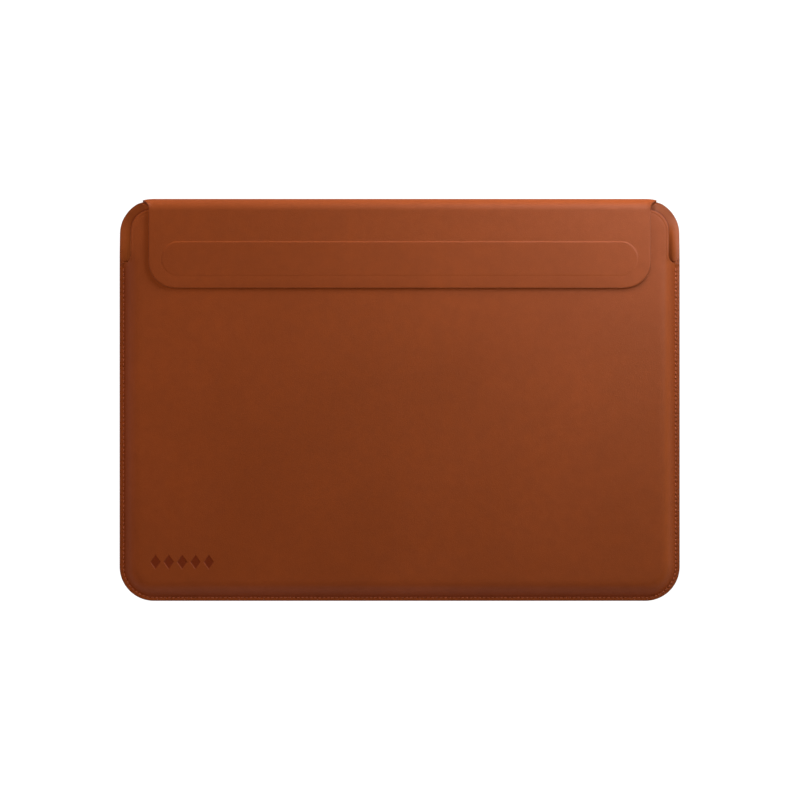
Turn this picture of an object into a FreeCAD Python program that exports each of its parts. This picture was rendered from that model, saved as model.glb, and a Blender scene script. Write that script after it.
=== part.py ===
"""A leather laptop sleeve lying on its back, in millimetres.

X runs along the width, Y towards the folded top edge and the flap, Z up. Z = 0 is the underside.
Three bodies fold on one another: the sleeve (both sewn panels), the spine and the flap.
Along the rim a section is drawn as (s, z), where s is the distance in from the outer edge.
Along the strap a section is drawn as (y, z). Depth is measured inwards from the leather's outer skin.
"""

import math
import os

import FreeCAD
import Part

# Outline, seen from above
HALF_WIDTH = 160.0
HALF_LENGTH = 114.75
BOTTOM_RADIUS = 19.6
TOP_RADIUS = 19.6
PAINT = 0.25

# Layers of the back and front panels
LEATHER = 0.8
BOARD = 0.5
FOAM = 1.0
LINING = 0.5
PANEL = LEATHER + BOARD + FOAM + LINING
POCKET = 11.6

# Rim section: a sewn flange at mid height, a steep wall and a rounded shoulder
TOP = 2 * PANEL + POCKET
SEAM_Z = TOP / 2
FLANGE = 3.0
FOOT_RADIUS = 1.5
FOOT_Z = SEAM_Z + LEATHER + FOOT_RADIUS
WALL = FLANGE + FOOT_RADIUS
SHOULDER_RADIUS = 4.0
SHOULDER = WALL + SHOULDER_RADIUS
SHOULDER_Z = TOP - SHOULDER_RADIUS
LID = SHOULDER + LINING
FILL_INSET = LID + 0.1

# Free edge of the front panel, above the seam ends
MOUTH_Y = 108.7
FREE_X = 154.4
FREE_RADIUS = 12.5
LOBE_RADIUS = 1.5
SCOOP_RADIUS = 4.1
SCOOP_Y = 82.0
SEAM_END_Y = SCOOP_Y - SCOOP_RADIUS - LOBE_RADIUS

# The back panel's rim sinks to the table above the seam ends
SINK_START_Y = 79.0
SINK_END_Y = HALF_LENGTH - TOP_RADIUS
SINK_SECTIONS = 6
FACING_Y = 60.0

# Strap: leather that runs from the back panel over the spine into the flap
STRAP_X = 143.1
SLIT = 0.4
FOLD_RADIUS = 6.5
FOLD_Y = HALF_LENGTH - FOLD_RADIUS
FOLD_SPLIT_DEG = 1.3
TAPE = 0.3
TAPE_X = STRAP_X - 0.6
BACK_LID_Y = 104.0

# Flap
FLAP_GAP = 0.3
FLAP_BOARD = 0.7
FLAP = LEATHER + FLAP_BOARD + LINING
HEIGHT = TOP + FLAP_GAP + FLAP
FLAP_END_Y = 63.8
FLAP_RADIUS = 15.0
FLAP_BOARD_INSET = 1.5
FLAP_LID_Y = 105.5

# Closure: magnets in a carrier strip, which lifts the flap's leather into a pad
PAD_X = 135.4
PAD_Y = (71.5, 90.7)
PAD_RADIUS = 9.5
PAD_RISE = 0.3
CARRIER = FLAP_BOARD + PAD_RISE
CARRIER_INSET = 0.8
FIT = 0.1
MAGNET_SIZE = (44.0, 12.0)
MAGNET_CENTRES_X = (-99.0, -33.0, 33.0, 99.0)

# Seam thread
STITCH_PITCH = 2.45
STITCH_SIDE_S = 2.3
STITCH_BOTTOM_S = 1.8
STITCH_RADIUS = 17.6
STITCH_END_Y = 75.4
THREAD = 0.4
THREAD_RISE = 0.25
STITCH_REACH = 1.5
HOLE = THREAD + 0.1


def vec(x, y, z=0.0):
    return FreeCAD.Vector(x, y, z)


def line(a, b):
    return Part.LineSegment(a, b).toShape()


def arc(centre, radius, start_deg, end_deg, place=vec):
    """An arc in a plane; place maps its two plane coordinates to a point."""
    points = []
    for angle in (start_deg, (start_deg + end_deg) / 2, end_deg):
        turn = math.radians(angle)
        points.append(place(centre[0] + radius * math.cos(turn), centre[1] + radius * math.sin(turn)))
    return Part.Arc(*points).toShape()


def polygon(corners, place=vec):
    points = [place(*corner) for corner in corners]
    return Part.Face(Part.makePolygon(points + points[:1]))


def face(edges):
    return Part.Face(Part.Wire(Part.__sortEdges__(edges)))


def join(shapes):
    return shapes[0].multiFuse(shapes[1:]).removeSplitter()


def mirrored(shape):
    return shape.mirror(vec(0, 0), vec(1, 0))


def both_sides(shape):
    return [shape, mirrored(shape)]


def prism(flat, low, high):
    """A face drawn at Z = 0, made solid between two heights."""
    return flat.translated(vec(0, 0, low)).extrude(vec(0, 0, high - low))


def block(x0, x1, y0, y1, z0, z1):
    return Part.makeBox(x1 - x0, y1 - y0, z1 - z0, vec(x0, y0, z0))


def flipped(shape):
    """Turns a piece of the front panel over into the matching piece of the back panel."""
    return shape.mirror(vec(0, 0, SEAM_Z), vec(0, 0, 1))


def rounded_rectangle(half_x, y0, y1, bottom_radius, top_radius):
    """A rectangle face centred on X = 0, with its own radius at the bottom and the top corners."""
    right = [
        line(vec(0, y0), vec(half_x - bottom_radius, y0)),
        arc((half_x - bottom_radius, y0 + bottom_radius), bottom_radius, -90, 0),
        line(vec(half_x, y0 + bottom_radius), vec(half_x, y1 - top_radius)),
        arc((half_x - top_radius, y1 - top_radius), top_radius, 0, 90),
        line(vec(half_x - top_radius, y1), vec(0, y1)),
    ]
    return face(right + [mirrored(edge) for edge in right])


def front_outline(inset):
    """The front panel's face: the sewn outline, cut in at both top corners above the seam ends."""
    side = HALF_WIDTH - inset
    bottom = inset - HALF_LENGTH
    corner = BOTTOM_RADIUS - inset
    free = FREE_X - inset
    scoop_x = FREE_X + SCOOP_RADIUS
    free_centre = (FREE_X - FREE_RADIUS, MOUTH_Y - FREE_RADIUS)
    right = [
        line(vec(0, bottom), vec(side - corner, bottom)),
        arc((side - corner, bottom + corner), corner, -90, 0),
        line(vec(side, bottom + corner), vec(side, SEAM_END_Y)),
        arc((scoop_x, SEAM_END_Y), LOBE_RADIUS - inset, 0, 90),
        arc((scoop_x, SCOOP_Y), SCOOP_RADIUS + inset, 270, 180),
        line(vec(free, SCOOP_Y), vec(free, free_centre[1])),
        arc(free_centre, FREE_RADIUS - inset, 0, 90),
        line(vec(free_centre[0], MOUTH_Y - inset), vec(0, MOUTH_Y - inset)),
    ]
    return face(right + [mirrored(edge) for edge in right])


def sweep_rim(section, y_end):
    """Carries a rim section, drawn where the right side meets its corner, around both sides and the bottom."""
    centre = vec(HALF_WIDTH - BOTTOM_RADIUS, BOTTOM_RADIUS - HALF_LENGTH)
    side = section.extrude(vec(0, y_end - centre.y, 0))
    corner = section.revolve(centre, vec(0, 0, -1), 90)
    bottom = section.rotated(centre, vec(0, 0, -1), 90).extrude(vec(-2 * centre.x, 0, 0))
    return both_sides(side) + both_sides(corner) + [bottom]


def rim_place(s, z):
    return vec(HALF_WIDTH - s, BOTTOM_RADIUS - HALF_LENGTH, z)


def wall_skins(outer, inner):
    """The wall and shoulder of a rim section, as its outer and inner skins between two depths."""
    shoulder = (SHOULDER, SHOULDER_Z)
    return [
        line(rim_place(WALL + outer, FOOT_Z), rim_place(WALL + outer, SHOULDER_Z)),
        arc(shoulder, SHOULDER_RADIUS - outer, 180, 90, rim_place),
        arc(shoulder, SHOULDER_RADIUS - inner, 90, 180, rim_place),
        line(rim_place(WALL + inner, SHOULDER_Z), rim_place(WALL + inner, FOOT_Z)),
    ]


def leather_section():
    """The front leather's rim: flange, foot, wall and shoulder, one leather thick."""
    return face(wall_skins(0, LEATHER) + [
        line(rim_place(PAINT, SEAM_Z), rim_place(PAINT, SEAM_Z + LEATHER)),
        line(rim_place(PAINT, SEAM_Z + LEATHER), rim_place(FLANGE, SEAM_Z + LEATHER)),
        arc((FLANGE, FOOT_Z), FOOT_RADIUS, 270, 360, rim_place),
        line(rim_place(SHOULDER, TOP), rim_place(SHOULDER, TOP - LEATHER)),
        arc((FLANGE, FOOT_Z), FOOT_RADIUS + LEATHER, 360, 270, rim_place),
        line(rim_place(FLANGE, SEAM_Z), rim_place(PAINT, SEAM_Z)),
    ])


def lining_section():
    """The front lining's rim: down the wall to the seam, and up over the edge of the foam."""
    outer = LEATHER
    inner = LEATHER + LINING
    corners = [
        (SHOULDER, TOP - outer),
        (LID, TOP - outer),
        (LID, TOP - PANEL),
        (SHOULDER, TOP - PANEL),
        (SHOULDER, TOP - inner),
    ]
    points = [rim_place(*corner) for corner in corners]
    return face(wall_skins(outer, inner) + [line(a, b) for a, b in zip(points, points[1:])] + [
        line(rim_place(WALL + outer, FOOT_Z), rim_place(WALL + outer, SEAM_Z)),
        line(rim_place(WALL + outer, SEAM_Z), rim_place(WALL + inner, SEAM_Z)),
        line(rim_place(WALL + inner, SEAM_Z), rim_place(WALL + inner, FOOT_Z)),
    ])


def middle(inset, y_end, top_radius=0.0):
    """The flat middle of a panel layer, some way in from the sewn edges."""
    half_x = HALF_WIDTH - inset
    bottom = inset - HALF_LENGTH
    radius = BOTTOM_RADIUS - inset
    flat = rounded_rectangle(half_x, bottom, y_end, radius, top_radius or radius)
    if top_radius:
        return flat
    squared = Part.makePlane(2 * half_x, 2 * radius, vec(-half_x, y_end - 2 * radius))
    return join([flat, squared])


def skin_knots(depth):
    """Points along one skin of the raised back rim: edge, foot (start, middle, end), shoulder (the same)."""
    foot = (FLANGE, TOP - FOOT_Z, FOOT_RADIUS + depth, 90, 0)
    shoulder = (SHOULDER, SHOULDER_RADIUS, SHOULDER_RADIUS - depth, 180, 270)
    knots = [(PAINT, SEAM_Z - LEATHER + depth)]
    for s, z, radius, start, end in (foot, shoulder):
        for degrees in (start, (start + end) / 2, end):
            turn = math.radians(degrees)
            knots.append((s + radius * math.cos(turn), z + radius * math.sin(turn)))
    return knots


def skin(depth, blend, y):
    """One skin of the back rim at one Y, from raised (blend 0) to sunk flat (blend 1)."""
    raised = skin_knots(depth)
    points = []
    for index, (s, z) in enumerate(raised):
        sunk_s = PAINT + (SHOULDER - PAINT) * index / (len(raised) - 1)
        points.append(vec(HALF_WIDTH - s - (sunk_s - s) * blend, y, z + (depth - z) * blend))
    edge, foot, shoulder = points[0], points[1:4], points[4:7]
    if blend == 1:
        bends = [line(foot[0], foot[2]), line(shoulder[0], shoulder[2])]
    else:
        bends = [Part.Arc(*foot).toShape(), Part.Arc(*shoulder).toShape()]
    edges = [line(edge, foot[0]), bends[0], line(foot[2], shoulder[0]), bends[1]]
    return edges, edge, shoulder[2]


def smooth(share):
    """A share from 0 to 1 that starts and ends level."""
    return share * share * (3 - 2 * share)


def sink_steps():
    """Where the sinking rim's sections stand in Y, each with how far it has sunk, from 0 to 1."""
    shares = [step / SINK_SECTIONS for step in range(SINK_SECTIONS + 1)]
    return [(SINK_START_Y + (SINK_END_Y - SINK_START_Y) * share, smooth(share)) for share in shares]


def sinking_rim(outer, inner):
    """A layer of the back rim as it sinks from the seam's height to the table, on the right."""
    sections = []
    for y, blend in sink_steps():
        low, low_edge, low_end = skin(outer, blend, y)
        high, high_edge, high_end = skin(inner, blend, y)
        ring = low + [line(low_end, high_end)] + high[::-1] + [line(high_edge, low_edge)]
        sections.append(Part.Wire(Part.__sortEdges__(ring)))
    return Part.makeLoft(sections, True, True)


def corner_tab(low, high, inset=PAINT):
    """The flat quarter disc of one layer at the back panel's top right corner."""
    centre = (HALF_WIDTH - TOP_RADIUS, HALF_LENGTH - TOP_RADIUS)
    radius = TOP_RADIUS - inset
    flat = face([
        arc(centre, radius, 0, 90),
        line(vec(centre[0], centre[1] + radius), vec(*centre)),
        line(vec(*centre), vec(centre[0] + radius, centre[1])),
    ])
    return prism(flat, low, high)


def strap_slot():
    """The room that the strap and its side slits take out of the back panel's top edge."""
    reach = STRAP_X + SLIT
    return block(-reach, reach, FOLD_Y, HALF_LENGTH, 0, PANEL)


def strap_place(y, z):
    return vec(0, y, z)


def bend(outer, inner, centre_z, start_deg, end_deg, half_x):
    """One layer of the strap around a fold line, between two depths and two angles."""
    centre = (FOLD_Y, centre_z)
    far = arc(centre, FOLD_RADIUS - outer, start_deg, end_deg, strap_place)
    near = arc(centre, FOLD_RADIUS - inner, start_deg, end_deg, strap_place)
    ends = [line(far.Vertexes[i].Point, near.Vertexes[i].Point) for i in (0, 1)]
    return face([far, near] + ends).translated(vec(-half_x, 0)).extrude(vec(2 * half_x, 0, 0))


def lower_bend(outer, inner, half_x=STRAP_X):
    """The sleeve's share of the lower fold."""
    return bend(outer, inner, FOLD_RADIUS, -90, -45 - FOLD_SPLIT_DEG, half_x)


def upper_bend(outer, inner, half_x=STRAP_X):
    """The flap's share of the upper fold."""
    return bend(outer, inner, HEIGHT - FOLD_RADIUS, 45 + FOLD_SPLIT_DEG, 90, half_x)


def spine_layer(outer, inner, half_x=STRAP_X):
    """One layer of the spine: its share of both folds and the wall between them."""
    low, high = FOLD_RADIUS, HEIGHT - FOLD_RADIUS
    return join([
        bend(outer, inner, low, FOLD_SPLIT_DEG - 45, 0, half_x),
        block(-half_x, half_x, HALF_LENGTH - inner, HALF_LENGTH - outer, low, high),
        bend(outer, inner, high, 0, 45 - FOLD_SPLIT_DEG, half_x),
    ])


def flap_outline(inset):
    """The flap's flat part, up to where its upper fold begins."""
    half_x = STRAP_X - inset
    low = FLAP_END_Y + inset
    radius = FLAP_RADIUS - inset
    right = [
        line(vec(0, low), vec(half_x - radius, low)),
        arc((half_x - radius, low + radius), radius, -90, 0),
        line(vec(half_x, low + radius), vec(half_x, FOLD_Y)),
        line(vec(half_x, FOLD_Y), vec(0, FOLD_Y)),
    ]
    return face(right + [mirrored(edge) for edge in right])


def pad_outline(inset):
    low, high = PAD_Y[0] + inset, PAD_Y[1] - inset
    return rounded_rectangle(PAD_X - inset, low, high, PAD_RADIUS - inset, PAD_RADIUS - inset)


def magnets(low, high, growth=0.0):
    length, width = MAGNET_SIZE[0] + growth, MAGNET_SIZE[1] + growth
    y = sum(PAD_Y) / 2
    return [
        block(x - length / 2, x + length / 2, y - width / 2, y + width / 2, low, high)
        for x in MAGNET_CENTRES_X
    ]


def carrier(low, high):
    """A strip with a window for each magnet."""
    return prism(pad_outline(CARRIER_INSET), low, high).cut(magnets(low, high, 2 * FIT))


def stitch_path():
    """The seam line from the right seam end, around the bottom, to the left seam end."""
    half_x = HALF_WIDTH - STITCH_SIDE_S
    bottom = STITCH_BOTTOM_S - HALF_LENGTH
    centre = (half_x - STITCH_RADIUS, bottom + STITCH_RADIUS)
    return Part.Wire([
        line(vec(half_x, STITCH_END_Y), vec(half_x, centre[1])),
        arc(centre, STITCH_RADIUS, 0, -90),
        line(vec(centre[0], bottom), vec(-centre[0], bottom)),
        arc((-centre[0], centre[1]), STITCH_RADIUS, 270, 180),
        line(vec(-half_x, centre[1]), vec(-half_x, STITCH_END_Y)),
    ])


def stitch_holes():
    """Points along the seam line, one per stitch, each with the direction of sewing in degrees."""
    path = stitch_path()
    count = round(path.Length / STITCH_PITCH)
    points = path.discretize(Number=count + 1)
    spots = []
    for index, point in enumerate(points[1:-1], start=1):
        ahead = points[index + 1] - points[index - 1]
        spots.append((point, math.degrees(math.atan2(ahead.y, ahead.x))))
    return spots


def placed(shape, spot):
    point, turn = spot
    return shape.rotated(vec(0, 0), vec(0, 0, 1), turn).translated(point)


def stitch():
    """One stitch along X: ahead on the front leather, down the hole, back under the back leather."""
    low, high = SEAM_Z - LEATHER, SEAM_Z + LEATHER
    half = THREAD / 2
    corners = [
        (-STITCH_REACH, low - THREAD_RISE),
        (half, low - THREAD_RISE),
        (half, high),
        (STITCH_REACH, high),
        (STITCH_REACH, high + THREAD_RISE),
        (-half, high + THREAD_RISE),
        (-half, low),
        (-STITCH_REACH, low),
    ]
    side = polygon(corners, lambda u, z: vec(u, -half, z))
    return side.extrude(vec(0, THREAD, 0))


def hole_punch():
    half = HOLE / 2
    return block(-half, half, -half, half, SEAM_Z - LEATHER, SEAM_Z + LEATHER)


def build_front():
    """The front panel and what it holds, as nodes."""
    trim = prism(front_outline(PAINT), 0, TOP)
    rim = sweep_rim(leather_section(), MOUTH_Y)
    punches = [placed(hole_punch(), spot) for spot in stitch_holes()]
    leather = join(rim + [prism(middle(SHOULDER, MOUTH_Y), TOP - LEATHER, TOP)])
    lining_rim = sweep_rim(lining_section(), MOUTH_Y)
    lining = join(lining_rim + [prism(middle(LID, MOUTH_Y), TOP - PANEL, TOP - PANEL + LINING)])
    envelope = join(rim + [prism(middle(SHOULDER, MOUTH_Y), TOP - PANEL, TOP)])
    edge = prism(front_outline(0), 0, TOP).cut(trim)
    above_seam = block(-HALF_WIDTH, HALF_WIDTH, SEAM_END_Y, HALF_LENGTH, 0, TOP)
    fill = middle(FILL_INSET, MOUTH_Y - 2 * PAINT - FIT, FREE_RADIUS - FREE_X + HALF_WIDTH - FILL_INSET)
    carrier_low = TOP - LEATHER - CARRIER
    window = prism(pad_outline(CARRIER_INSET - FIT), 0, TOP)
    return {
        "front_leather": leather.common(trim).cut(punches),
        "front_lining": lining.common(trim),
        "front_edge_paint": edge.common(envelope).common(above_seam),
        "front_board": prism(fill, TOP - LEATHER - BOARD, TOP - LEATHER).cut(window),
        "front_foam": prism(fill, TOP - PANEL + LINING, TOP - LEATHER - BOARD).cut(window),
        "front_magnet_carrier": carrier(carrier_low, TOP - LEATHER),
        "front_magnets": Part.makeCompound(magnets(carrier_low, TOP - LEATHER)),
    }


def build_back_leather():
    top_x = HALF_WIDTH - TOP_RADIUS
    pieces = [flipped(piece) for piece in sweep_rim(leather_section(), SINK_START_Y)]
    pieces += both_sides(sinking_rim(0, LEATHER)) + both_sides(corner_tab(0, LEATHER))
    pieces += [
        prism(middle(SHOULDER, SINK_END_Y), 0, LEATHER),
        block(-top_x, top_x, SINK_END_Y, HALF_LENGTH - PAINT, 0, LEATHER),
    ]
    punches = [placed(hole_punch(), spot) for spot in stitch_holes()]
    return join([join(pieces).cut(strap_slot()), lower_bend(0, LEATHER)]).cut(punches)


def build_back_facing():
    """Leather lining of the pocket's mouth: it covers the foam, then runs on to the free corners and the fold."""
    low, high = LEATHER, LEATHER + LINING
    top_x = HALF_WIDTH - TOP_RADIUS
    lid_x, lid_radius = HALF_WIDTH - SHOULDER, TOP_RADIUS - SHOULDER
    lid = rounded_rectangle(lid_x, 0, BACK_LID_Y, lid_radius, lid_radius)
    room = rounded_rectangle(lid_x - LINING, 0, BACK_LID_Y - LINING, 1, lid_radius - LINING)
    room = prism(room, low, PANEL - LINING)
    lid = prism(lid, low, PANEL).cut(room)
    below = block(-HALF_WIDTH, HALF_WIDTH, -HALF_LENGTH, FACING_Y, 0, TOP)
    wall = flipped(lining_section()).translated(vec(0, FACING_Y + HALF_LENGTH - BOTTOM_RADIUS))
    wall = wall.extrude(vec(0, SINK_START_Y - FACING_Y))
    apron = [block(-top_x, top_x, SINK_END_Y, HALF_LENGTH - PAINT, low, high)]
    apron += both_sides(corner_tab(low, high)) + both_sides(sinking_rim(low, high)) + both_sides(wall)
    tape_room = block(-TAPE_X, TAPE_X, BACK_LID_Y, FOLD_Y, low, low + TAPE)
    strap = block(-STRAP_X, STRAP_X, BACK_LID_Y - LINING, FOLD_Y, low + TAPE, high + TAPE)
    apron = join(apron).cut([room, tape_room, strap_slot()])
    return join([apron, lid.cut(below), strap, lower_bend(low + TAPE, high + TAPE)])


def build_rim_paint():
    """The painted outer edge: around the seam, then along the back panel's free corners."""
    low, high = SEAM_Z - LEATHER, SEAM_Z + LEATHER
    bead = [(PAINT, low), (PAINT, high), (PAINT / 2, high), (0, high - PAINT), (0, low + PAINT), (PAINT / 2, low)]
    pieces = sweep_rim(polygon(bead, rim_place), SEAM_END_Y)
    x = HALF_WIDTH
    sunk = []
    for y, blend in sink_steps():
        z = low * (1 - blend)
        top = z + LEATHER + LINING
        sunk.append(Part.makePolygon([
            vec(x, y, z), vec(x, y, top), vec(x - PAINT, y, top), vec(x - PAINT, y, z), vec(x, y, z)
        ]))
    ring = corner_tab(0, LEATHER + LINING, 0).cut(corner_tab(0, LEATHER + LINING, PAINT))
    link = block(HALF_WIDTH - PAINT, HALF_WIDTH, SEAM_END_Y, SINK_START_Y, low, SEAM_Z)
    for piece in (Part.makeLoft(sunk, True, True), ring.cut(strap_slot()), link):
        pieces += both_sides(piece)
    return join(pieces)


def build_back():
    """The back panel and what it holds, as nodes."""
    lining_rim = [flipped(piece) for piece in sweep_rim(lining_section(), FACING_Y)]
    fill_radius = TOP_RADIUS - FILL_INSET
    fill = middle(FILL_INSET, BACK_LID_Y - LINING - FIT, fill_radius)
    foam_high = PANEL - LINING
    tape = block(-TAPE_X, TAPE_X, BACK_LID_Y, FOLD_Y, LEATHER, LEATHER + TAPE)
    return {
        "back_leather": build_back_leather(),
        "back_board": prism(fill, LEATHER, LEATHER + BOARD),
        "back_foam": prism(fill, LEATHER + BOARD, foam_high),
        "back_lining": join(lining_rim + [prism(middle(LID, FACING_Y), foam_high, PANEL)]),
        "back_facing": build_back_facing(),
        "back_fold_tape": join([tape, lower_bend(LEATHER, LEATHER + TAPE, TAPE_X)]),
        "rim_edge_paint": build_rim_paint(),
        "seam_thread": Part.makeCompound([placed(stitch(), spot) for spot in stitch_holes()]),
    }


def build_spine():
    """The spine's layers, as nodes."""
    return {
        "spine_leather": spine_layer(0, LEATHER),
        "spine_fold_tape": spine_layer(LEATHER, LEATHER + TAPE, TAPE_X),
        "spine_facing": spine_layer(LEATHER + TAPE, LEATHER + TAPE + LINING),
    }


def build_flap():
    """The flap and what it holds, as nodes."""
    skin_low = HEIGHT - LEATHER
    board_low = skin_low - FLAP_BOARD
    facing_low = board_low - LINING
    tape_low = skin_low - TAPE
    carrier_high = skin_low + PAD_RISE
    pad = prism(pad_outline(0), carrier_high, HEIGHT + PAD_RISE)
    pad_rim = [edge for edge in pad.Edges if edge.BoundBox.ZMin > HEIGHT + PAD_RISE / 2]
    pad = pad.makeChamfer(PAD_RISE * 0.8, pad_rim)
    skin = prism(flap_outline(PAINT), skin_low, HEIGHT).cut(prism(pad_outline(0), skin_low, HEIGHT))
    flat_end = block(-STRAP_X, STRAP_X, FLAP_LID_Y, FOLD_Y, 0, HEIGHT)
    board_room = prism(flap_outline(FLAP_BOARD_INSET), board_low, skin_low)
    cover = prism(flap_outline(PAINT), facing_low, skin_low).cut([board_room, flat_end])
    riser = block(PAINT - STRAP_X, STRAP_X - PAINT, FLAP_LID_Y, FLAP_LID_Y + LINING, facing_low, tape_low)
    strap = block(PAINT - STRAP_X, STRAP_X - PAINT, FLAP_LID_Y, FOLD_Y, tape_low - LINING, tape_low)
    window = prism(pad_outline(CARRIER_INSET - FIT), 0, HEIGHT)
    board_end = block(-STRAP_X, STRAP_X, FLAP_LID_Y - FIT, FOLD_Y, 0, HEIGHT)
    board = prism(flap_outline(FLAP_BOARD_INSET + FIT), board_low, skin_low)
    edge = prism(flap_outline(0), facing_low, HEIGHT).cut(prism(flap_outline(PAINT), facing_low, HEIGHT))
    tape = block(-TAPE_X, TAPE_X, FLAP_LID_Y + LINING, FOLD_Y, tape_low, skin_low)
    depth = LEATHER + TAPE
    return {
        "flap_leather": join([skin, pad, upper_bend(0, LEATHER)]),
        "flap_facing": join([cover, riser, strap, upper_bend(depth, depth + LINING)]),
        "flap_board": board.cut([window, board_end]),
        "flap_fold_tape": join([tape, upper_bend(LEATHER, depth, TAPE_X)]),
        "flap_edge_paint": edge,
        "flap_magnet_carrier": carrier(board_low, carrier_high),
        "flap_magnets": Part.makeCompound(magnets(board_low, carrier_high)),
    }


def main():
    os.makedirs("parts", exist_ok=True)
    for nodes in (build_front(), build_back(), build_spine(), build_flap()):
        for name, shape in nodes.items():
            shape.exportStep(f"parts/{name}.step")


main()
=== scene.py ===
"""A brown leather laptop sleeve: fine skins, painted edges, stitches, materials, studio and camera.

Shapes are worked out in millimetres, in the CAD model's frame, and become metres in the meshes.
A skin is drawn flat as (u, w) and laid on a surface; depth is measured inwards from the leather's face.
"""

import math

import bmesh
import bpy
import numpy as np
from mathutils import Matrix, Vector
from mathutils.geometry import delaunay_2d_cdt
from mathutils.kdtree import KDTree

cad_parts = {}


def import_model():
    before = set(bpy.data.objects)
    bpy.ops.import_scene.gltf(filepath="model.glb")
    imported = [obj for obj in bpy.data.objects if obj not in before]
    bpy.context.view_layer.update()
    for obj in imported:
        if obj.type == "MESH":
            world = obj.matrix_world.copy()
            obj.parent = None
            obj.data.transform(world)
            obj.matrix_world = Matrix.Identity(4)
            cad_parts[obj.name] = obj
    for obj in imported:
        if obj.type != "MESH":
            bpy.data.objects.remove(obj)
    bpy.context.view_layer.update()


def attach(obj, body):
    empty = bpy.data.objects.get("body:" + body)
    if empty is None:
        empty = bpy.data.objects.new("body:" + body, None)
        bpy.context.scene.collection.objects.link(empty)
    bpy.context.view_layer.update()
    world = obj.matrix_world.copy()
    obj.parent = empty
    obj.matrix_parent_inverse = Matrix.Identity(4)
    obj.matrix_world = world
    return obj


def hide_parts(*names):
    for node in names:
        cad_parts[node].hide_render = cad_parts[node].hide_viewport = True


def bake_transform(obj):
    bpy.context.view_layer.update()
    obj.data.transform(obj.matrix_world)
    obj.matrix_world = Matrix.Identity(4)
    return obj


MM = 0.001

# Outline
HALF_WIDTH = 160.0
HALF_LENGTH = 114.75
BOTTOM_RADIUS = 19.6
TOP_RADIUS = 19.6
PAINT = 0.25

# Layers
LEATHER = 0.8
LINING = 0.5
PANEL = 2.8
BOARD_DEPTH = 1.3
FOAM_DEPTH = 2.3
TAPE = 0.3
GLUE = 0.03
TAPE_LAYER = (LEATHER + GLUE, LEATHER + TAPE - GLUE)
TOP = 17.2
SEAM_Z = TOP / 2
FACE_Z = SEAM_Z + LEATHER

# Rim: a flat sewn flange, and a slope that rounds over into the panel
FLANGE = 3.0
SLOPE = 9.0
SLOPE_POWER = 3
FREE_RISE = 9.0

# Free edge of the front panel
MOUTH_Y = 108.7
FREE_X = 153.5
FREE_RADIUS = 12.5
SCOOP_RADIUS = 5.0
SCOOP_Y = 82.9
LOBE_RADIUS = 1.5
SEAM_END_Y = SCOOP_Y - SCOOP_RADIUS - LOBE_RADIUS

# Back panel above the seam ends, and the strap that folds over
SINK_Y = (79.0, 106.0)
STRAP_X = 143.1
ROOT_X = 146.6
ROOT_RISE = 6.9
ROOT_FILLET = 0.7
CURL_X = 150.0
FOLD_RADIUS = 6.5
CORNER_FOLD_RADIUS = 1.4
FOLD_Y = HALF_LENGTH - FOLD_RADIUS
BEND = FOLD_RADIUS * math.pi / 2
HEIGHT = 19.5
SPINE_MIDDLE = (HEIGHT - 2 * FOLD_RADIUS) / 2
BACK_END = FOLD_Y + BEND + SPINE_MIDDLE
FACING_Y = 60.0
LINING_INSET = 3.4

# Where the layers under the leather step up or down: start, width
STACK_STEP = (4.6, 1.5)
FOAM_STEP = (7.9, 1.6)
FOAM_TOP = 105.4
TAPE_STEP = (104.5, 1.2)

# Foam sheet
FOAM_X = 150.2
FOAM_BOTTOM = -104.8
FOAM_RADIUS = 10.4
FOAM_CROWN = 0.3

# Distances in from the sewn edge of the rows of points on the rim
SEAM_ROWS = (0.7, 1.2, 1.6, 1.95, 2.3, 2.65, 3.0, 3.3)
SLOPE_ROWS = (3.6, 3.9, 4.3, 4.7, 5.2, 5.8, 6.5, 7.3, 8.2, 9.2, 10.4, 12)
WALL_ROWS = (3.7, 4.1, 4.6, 5.2, 5.9, 6.7, 7.5, 7.9, 8.6, 9.4, 10.5, 12, 15)

# Flap
FLAP_END_Y = 63.8
FLAP_FLAT = FOLD_Y - FLAP_END_Y
FLAP_RADIUS = 15.0
FLAP_DEPTH = 2.0
FLAP_END = FLAP_FLAT + BEND + SPINE_MIDDLE
FLAP_LID = 105.5 - FLAP_END_Y
PAD_X = 135.4
PAD_Y = (71.2, 90.0)
PAD_RISE = (0.07, 0.34)
PAD_EDGE = 0.6

# Seam
STITCH_PITCH = 2.45
STITCH_X = HALF_WIDTH - 2.3
STITCH_BOTTOM = 1.8 - HALF_LENGTH
STITCH_RADIUS = 17.6
STITCH_TOP = 75.4
STITCH_LENGTH = 1.6
THREAD_RADIUS = 0.27

# Pressed mark at the lower left
MARK_CENTRE = (-124.0, -92.4)
MARK_COUNT = 5
MARK_STEP = 7.6
MARK_HALF = (3.1, 4.4)
MARK_DEPTH = 0.28

# Softened edges of the front panel and the flap: drop, width
FREE_DROP = (0.45, 0.9)
FLAP_DROP = (0.3, 0.8)

# How far the darker tone covers the leather's own: in the pressed mark, as painted shade just inside the
# seam, and as painted shadow beside the front panel's free edge
MARK_RUB = 0.55
SEAM_SHADE = 0.24
FREE_EDGE_SHADOW = 0.6


# ---------------------------------------------------------------- surfaces


def smooth(t):
    t = np.clip(t, 0, 1)
    return t * t * (3 - 2 * t)


def rise(value, start, width):
    """0 up to the start, 1 beyond the width, and smooth between them."""
    return smooth((value - start) / width)


def bump(distance, width):
    return np.exp(-((distance / width) ** 2))


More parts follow.
